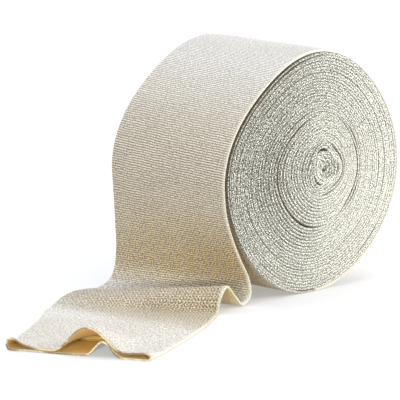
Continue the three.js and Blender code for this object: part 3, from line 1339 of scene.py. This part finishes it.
    def dress(self, back: float, across: Array, height: Array, opening: float) -> dict[Layer, Array]:
        """What the finish reads around one section.

        Args:
            back: Distance back from the mouth.
            across: Places across.
            height: Heights over the middle surface.
            opening: How open the gap under the cloth is there.

        Returns:
            A value of each layer for each point.
        """
        share = across / self.mouth_width
        edge = np.minimum(across, self.mouth_width - across)
        down = -height / self.winding.wall
        rolled = self.rolled.at(back)
        start, end, hem_pale, hem_share = (
            plain + more * rolled
            for plain, more in (self.hem_from, self.hem_to, self.hem_pale, self.hem_share)
        )
        hem = (1 - ease(edge, start, end)) * (share > 0.5)
        # painted shade along the hang's near edge, on its lower layer
        crease = ease(down, *self.crease_step) * (1 - ease(edge, *self.crease_edge))
        crease = crease * opening * self.hang.at(back)
        # painted shade under the wave: lining orange and crease dark
        below = ease(down, *self.under_step) * self.underside.at(back)
        hollow = below * self.under_wave.at(back)
        pale = self.painted_light_level(back, share)
        pale = pale + (hem_pale - pale) * hem * hem_share
        return {
            Layer.FOLD: hem * self.hem_fold,
            Layer.INSIDE: hollow,
            Layer.CREASE: crease + hollow * self.under_painted_shade,
            Layer.LOOSE: self.slack.at(back) + self.crimp(back, share),
            Layer.PALE: pale * (self.cut_pale + self.cut_fade.at(back)),
            Layer.BEAD: np.maximum(hem, below * self.under_painted_shade),
        }

    def dress_inside(self, back: float, pale: Array) -> dict[Layer, Array]:
        """What the finish reads around the tube's inside: painted shade by how deep it lies, and its
        painted light level.
        """
        depth = self.inside_painted_shade + self.inside_fade.at(back)
        return {Layer.INSIDE: np.full(len(pale), depth), Layer.PALE: pale}

    def build(self) -> bpy.types.Object:
        """Makes the outermost turn and the free end.

        Returns:
            The piece, in place of the loose end's plain solid.
        """
        rows = self.rows()
        sides = rows.outward()
        openings = self.winding.openness(self.wrapped_turns() - 1)
        cloth = ClothMesh()
        outer = inner = None
        for i, back in enumerate(rows.along[-1] - rows.along):
            across, upper, lower = self.shape(float(back))
            loop = (once_around(across, across), once_around(upper, lower))
            dress = self.dress(float(back), *loop, openings[min(i, self.wrap_steps - 1)])
            ring = cloth.ring(self.place(rows, sides, i, *loop), rows.along[i], dress)
            if outer is None:
                cloth.cap(ring)
            else:
                cloth.join(outer, ring)
            outer = ring
            if back > self.pocket:
                continue
            placed = self.place(rows, sides, i, *self.inside(across, upper, lower))
            dress = self.dress_inside(float(back), dress[Layer.PALE])
            ring = cloth.ring(placed, rows.along[i], dress)
            if inner is None:
                cloth.cap(ring)
            else:
                cloth.join(ring, inner)
            inner = ring
        cloth.join(outer, inner)
        piece = cloth.piece(self.name, self.material)
        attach(piece, BODY)
        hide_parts("loose_end")
        return piece

    def painted_light_level(self, back: float, share: Array) -> Array:
        """Painted light and shade on the cloth, by how it lies in the light.

        Args:
            back: Distance back from the mouth.
            share: Places across, from 0 at the far edge to 1 at the near one.

        Returns:
            Numbers from 0 at the foot of the hang to 1 on the flat end and over the roll.
        """
        flat = self.flat_pale.at(back - self.mouth_turn * (1 - share))
        rising = self.rise_pale.at(back) + self.crest_pale.at(back)
        wave = self.wave_pale + self.far_wave.at(back) * (1 - share) ** 2 + rising
        front = sum(stretch.at(back) for stretch in self.front_painted_light_and_shade)
        foot = share * self.foot_painted_shade.at(back)
        return self.base_pale + flat + wave * self.wave_end.at(back) - foot + front

    def crimp(self, back: float, share: Array) -> Array:
        """How far the slope below the wave is crimped, which shows as coarse dots.

        Args:
            back: Distance back from the mouth.
            share: Places across, from 0 at the far edge to 1 at the near one.

        Returns:
            Numbers from 0 to 1.
        """
        started = self.crimp_start.at(back - self.mouth_turn * (1 - share))
        return started * self.crimp_end.at(back)

    def place(
        self, rows: Rows, sides: tuple[Array, Array], i: int, across: Array, height: Array
    ) -> Array:
        """Carries a section's points to their place on the cloth.

        Args:
            rows: Rows of the cloth.
            sides: Outward side at the near edge and at the far one.
            i: Which row.
            across: Places across.
            height: Heights over the middle surface.

        Returns:
            One row of X, Y, Z for each point, none under the floor.
        """
        share = (across / self.mouth_width)[:, None]
        near_side, far_side = sides
        middle = rows.far[i] + (rows.near[i] - rows.far[i]) * share
        side = normalised(far_side[i] + (near_side[i] - far_side[i]) * share)
        placed = middle + side * height[:, None]
        placed[:, 2] = np.maximum(placed[:, 2], 0)
        return placed


def once_around(upper: Array, lower: Array) -> Array:
    """Joins the values of two layers into one way round, out over the upper and back under the lower."""
    return np.concatenate([upper, lower[-2:0:-1]])


@dataclass(frozen=True)
class Ring:
    """A closed ring of a cloth mesh's points: the first one's number, how many, and the way round."""

    start: int
    count: int
    way_round: float


class ClothMesh:
    """Points and faces of a cloth piece, with its UV map and layers."""

    def __init__(self) -> None:
        """Starts an empty mesh."""
        self.points: list[Array] = []
        self.places: list[tuple[float, float]] = []
        self.layers: dict[Layer, list[float]] = {layer: [] for layer in Layer}
        self.faces: list[tuple[int, ...]] = []
        self.face_places: list[tuple[tuple[float, float], ...]] = []

    def ring(self, placed: Array, along: float, dress: dict[Layer, Array]) -> Ring:
        """Adds a closed ring of points.

        Args:
            placed: The points, in mm.
            along: The ring's place along the tube.
            dress: What the finish reads there, 0 where it says nothing.

        Returns:
            The ring.
        """
        start = len(self.points)
        arc = distances_along(placed)
        self.points.extend(placed)
        self.places.extend((float(a), float(along)) for a in arc)
        for layer, values in self.layers.items():
            values.extend(dress.get(layer, np.zeros(len(placed))))
        closing = float(arc[-1] + np.linalg.norm(placed[0] - placed[-1]))
        return Ring(start, len(placed), closing)

    def join(self, first: Ring, second: Ring) -> None:
        """Adds the faces between two rings of as many points.

        Args:
            first: The ring to start from.
            second: The ring to reach.
        """
        for j in range(first.count):
            k = (j + 1) % first.count
            corners = (first.start + j, second.start + j, second.start + k, first.start + k)
            self.faces.append(corners)
            a, b, c, d = (self.places[n] for n in corners)
            if k == 0:
                c, d = (second.way_round, c[1]), (first.way_round, d[1])
            self.face_places.append((a, b, c, d))

    def cap(self, ring: Ring) -> None:
        """Closes a flat ring across its two layers.

        Args:
            ring: The ring.
        """
        start, count = ring.start, ring.count
        for j in range(count // 2):
            a, b = start + j, start + j + 1
            c, d = start + (count - j - 1) % count, start + (count - j) % count
            corners = [a, b, c, d] if j else [a, b, c]
            if b == c:
                corners = [a, b, d]
            self.faces.append(tuple(corners))
            self.face_places.append(tuple(self.places[n] for n in corners))

    def piece(self, name: str, material: bpy.types.Material) -> bpy.types.Object:
        """Makes the object.

        Args:
            name: Its name.
            material: Its finish.

        Returns:
            The piece, with its faces outwards.
        """
        mesh = bpy.data.meshes.new(name)
        mesh.from_pydata((np.array(self.points) * MM).tolist(), [], self.faces)
        layer = mesh.uv_layers.new(name=CLOTH_UV)
        corners = [place for face in self.face_places for place in face]
        layer.data.foreach_set("uv", (np.array(corners, np.float32) * MM).ravel())
        keep_values(mesh, {layer.value: values for layer, values in self.layers.items()})
        mesh.polygons.foreach_set("use_smooth", [True] * len(mesh.polygons))
        mesh.materials.append(material)
        if signed_volume(mesh) < 0:
            mesh.flip_normals()
        mesh.update()
        return add_object(name, mesh)


class LampKind(Enum):
    """The kinds of lamp in the studio."""

    SUN = "SUN"
    AREA = "AREA"
    SPOT = "SPOT"


@dataclass(frozen=True)
class Lamp:
    """One lamp. Size is a disk's width in metres, the sun's spread or a spot's cone in degrees."""

    name: str
    kind: LampKind
    place: tuple[float, float, float]
    aim: tuple[float, float, float]
    size: float
    power: float
    colour: Colour
    spot_radius: float = 0.05

    def build(self) -> bpy.types.Object:
        """Makes the lamp.

        Returns:
            The lamp, turned to its aim.
        """
        data = bpy.data.lights.new(self.name, self.kind.value)
        if self.kind is LampKind.SUN:
            data.angle = math.radians(self.size)
        elif self.kind is LampKind.AREA:
            data.shape = "DISK"
            data.size = self.size
        else:
            data.spot_size = math.radians(self.size)
            data.spot_blend = 1.0
            data.shadow_soft_size = self.spot_radius
        data.energy = self.power
        data.color = self.colour
        lamp = add_object(self.name, data)
        aim = Vector(self.aim) - Vector(self.place)
        lamp.rotation_euler = aim.to_track_quat("-Z", "Y").to_euler()
        lamp.location = self.place
        return lamp


SOFT_LAMPS = (
    Lamp("key_sun", LampKind.SUN, (-0.5, -0.05, 1.5), (0, 0, 0), 85, 2.36, (0.97, 1.0, 1.07)),
    Lamp(
        "face_lamp", LampKind.AREA, (0.5, 0.42, 0.21), (0.05, 0.03, 0.1), 0.3, 4.25, (1.0, 1.0, 0.98)
    ),
    Lamp(
        "mouth_spot", LampKind.SPOT, (0.42, -0.85, 0.07), (0.075, -0.21, 0.01), 9, 17.0,
        (1.0, 0.95, 0.86),
    ),
    Lamp(
        "low_fill", LampKind.AREA, (0.75, -0.6, 0.07), (0.05, -0.08, 0.02), 0.4, 2.7, (1.0, 0.96, 0.9)
    ),
)


@dataclass(frozen=True)
class Studio:
    """Pale floor, soft light and the camera. Sizes in metres."""

    azimuth: float = 45.74
    elevation: float = 10.0
    distance: float = 1.6
    focal_pixels: float = 2484.7
    picture_pixels: float = 400
    sensor_mm: float = 36.0
    far_clip: float = 50.0
    shift_right: float = -0.03784
    shift_up: float = -0.01916
    centre: tuple[float, float, float] = (0.0, 0.0, 0.072)
    floor_half: float = 30.0
    floor_colour: Colour = (0.54, 0.545, 0.555)
    floor_glow: float = 0.32
    floor_roughness: float = 0.9
    floor_specular: float = 0.1
    world_colour: Colour = (1.0, 0.965, 0.90)
    world_strength: float = 0.58
    lamps: tuple[Lamp, ...] = SOFT_LAMPS

    def camera(self) -> bpy.types.Object:
        """Sets the camera at the picture's angle.

        Returns:
            The camera.
        """
        azimuth, elevation = math.radians(self.azimuth), math.radians(self.elevation)
        level = math.cos(elevation)
        back = Vector(
            (math.sin(azimuth) * level, -math.cos(azimuth) * level, math.sin(elevation))
        )
        right = Vector((math.cos(azimuth), math.sin(azimuth), 0.0))
        up = back.cross(right)
        data = bpy.data.cameras.new("camera")
        data.sensor_width = self.sensor_mm
        data.lens = self.sensor_mm * self.focal_pixels / self.picture_pixels
        data.clip_end = self.far_clip
        camera = add_object("camera", data)
        turn = Matrix((right, up, back)).transposed().to_4x4()
        shift = right * self.shift_right + up * self.shift_up
        turn.translation = Vector(self.centre) + shift + back * self.distance
        camera.matrix_world = turn
        bpy.context.scene.camera = camera
        return camera

    def floor(self) -> bpy.types.Object:
        """Makes the pale floor.

        Returns:
            The floor, which isn't part of the object.
        """
        half = self.floor_half
        mesh = bpy.data.meshes.new("floor")
        corners = [(-half, -half, 0), (half, -half, 0), (half, half, 0), (-half, half, 0)]
        mesh.from_pydata(corners, [], [(0, 1, 2, 3)])
        material = bpy.data.materials.new("floor_paper")
        material.use_nodes = True
        values = {
            "Base Color": (*self.floor_colour, 1),
            "Roughness": self.floor_roughness,
            "Specular IOR Level": self.floor_specular,
            "Emission Color": (1, 1, 1, 1),
            "Emission Strength": self.floor_glow,
        }
        set_inputs(material.node_tree.nodes["Principled BSDF"], values)
        mesh.materials.append(material)
        floor = add_object("floor", mesh)
        return floor

    def light(self) -> None:
        """Sets the soft lamps and the surrounding light."""
        for lamp in self.lamps:
            lamp.build()
        world = bpy.data.worlds.new("studio")
        world.use_nodes = True
        values = {"Color": (*self.world_colour, 1), "Strength": self.world_strength}
        set_inputs(world.node_tree.nodes["Background"], values)
        bpy.context.scene.world = world
        bpy.context.scene.view_settings.view_transform = "Standard"

    def build(self) -> None:
        """Sets camera, floor and light."""
        self.camera()
        self.floor()
        self.light()


def main() -> None:
    """Builds the studio and the pieces in order and reports each."""
    logging.basicConfig(level=logging.INFO, format="%(name)s: %(message)s")
    Studio().build()
    cotton = KnitFinish().build()
    winding = Winding()
    for maker in (WoundTurns(winding, cotton), LooseEnd(winding, cotton)):
        piece = maker.build()
        piece.data.calc_loop_triangles()
        log.info("%s: %d triangles", piece.name, len(piece.data.loop_triangles))


if __name__ == "__main__":
    main()
